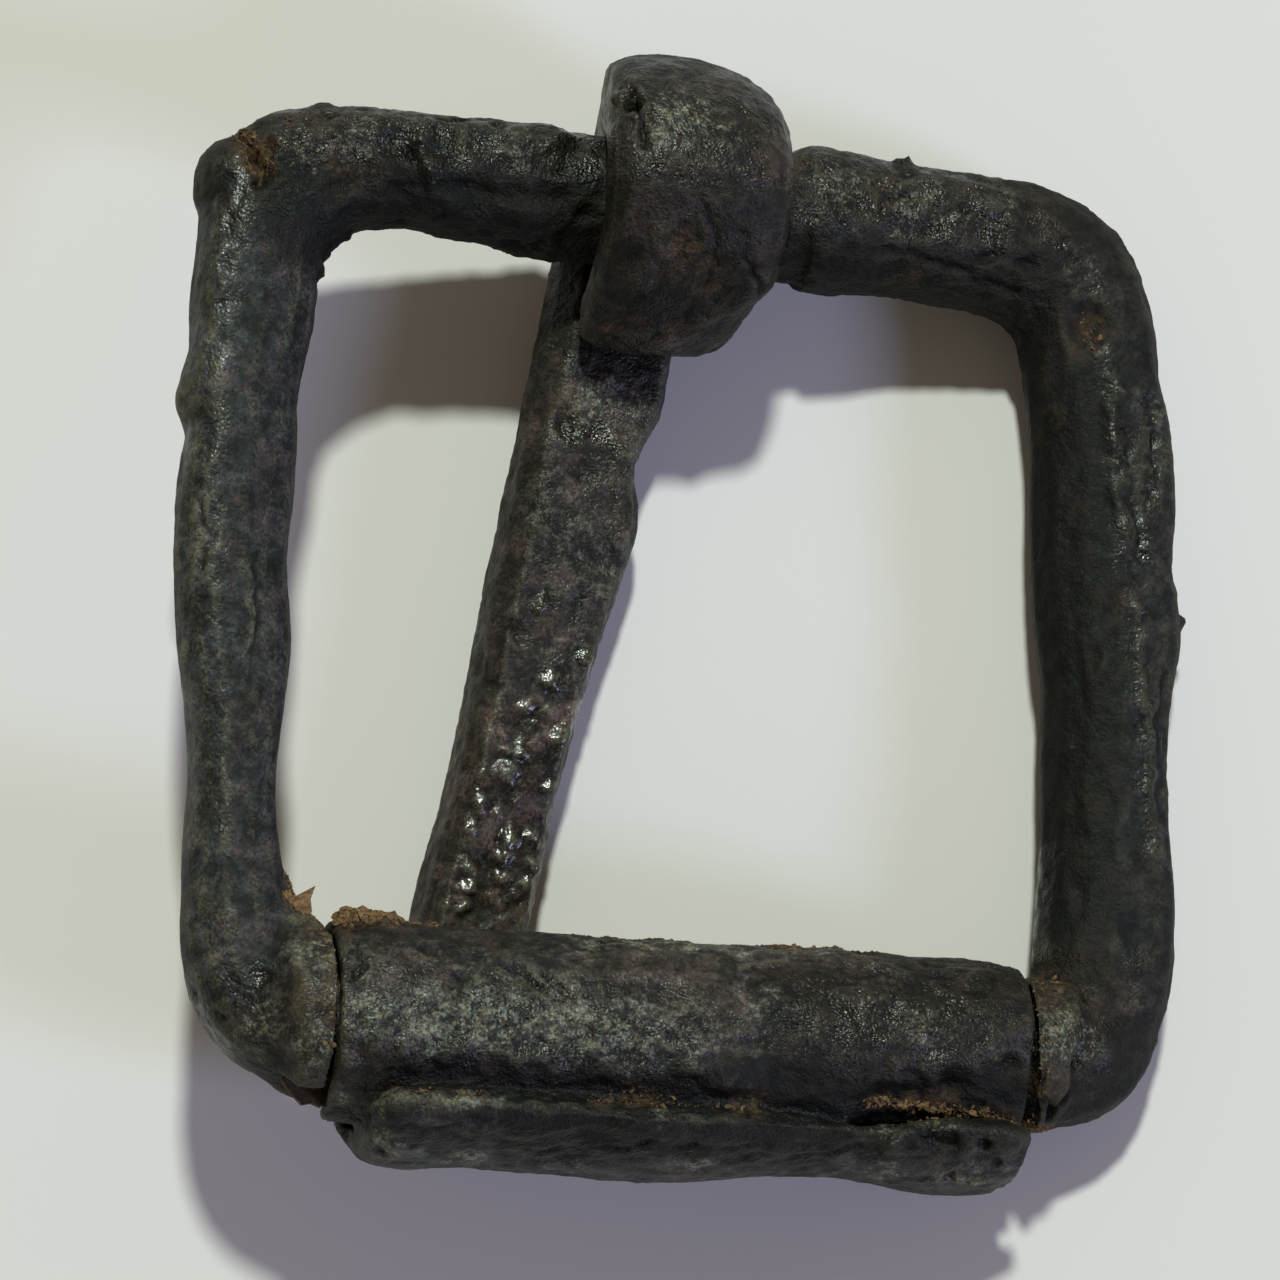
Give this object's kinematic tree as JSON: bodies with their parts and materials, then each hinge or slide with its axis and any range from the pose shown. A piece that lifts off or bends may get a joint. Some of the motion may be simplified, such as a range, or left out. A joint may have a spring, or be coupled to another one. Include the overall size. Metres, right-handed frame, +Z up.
{
  "type": "buckle",
  "caption": "Forged iron strap buckle with a rounded square frame, a pin that swings on the strap bar and a loose sheet roller on the far bar, corroded.",
  "frame": {"origin": "middle of the buckle's footprint, on the surface it lies on", "axes": "+Y from the roller towards the strap bar, +X towards the low side bar, +Z up; the buckle lies on its face, back side up, tilted on its pin"},
  "size_m": [0.0462, 0.052, 0.0157],
  "materials": {
    "frame_iron": "corroded dark brown-black iron with a semi-gloss lacquered sheen",
    "pin_iron": "corroded dark iron, purple-brown on its flat face",
    "roller_iron": "corroded dark iron sheet, green-grey on its high places and rusty in its seam"
  },
  "bodies": {
    "frame": {"frame": "frame_iron"},
    "pin": {"pin": "pin_iron"},
    "roller": {"roller": "roller_iron"}
  },
  "joints": [
    {"name": "pin_swing", "type": "hinge", "parent": "frame", "child": "pin", "pos_m": [-0.00104, 0.01908, 0.00727], "axis": [0.9744, 0, -0.225], "range_deg": [0, 333]},
    {"name": "roller_turn", "type": "hinge", "parent": "frame", "child": "roller", "pos_m": [0.00009, -0.01971, 0.00792], "axis": [-0.9744, 0, 0.225], "range_deg": [-15, 180]}
  ]
}
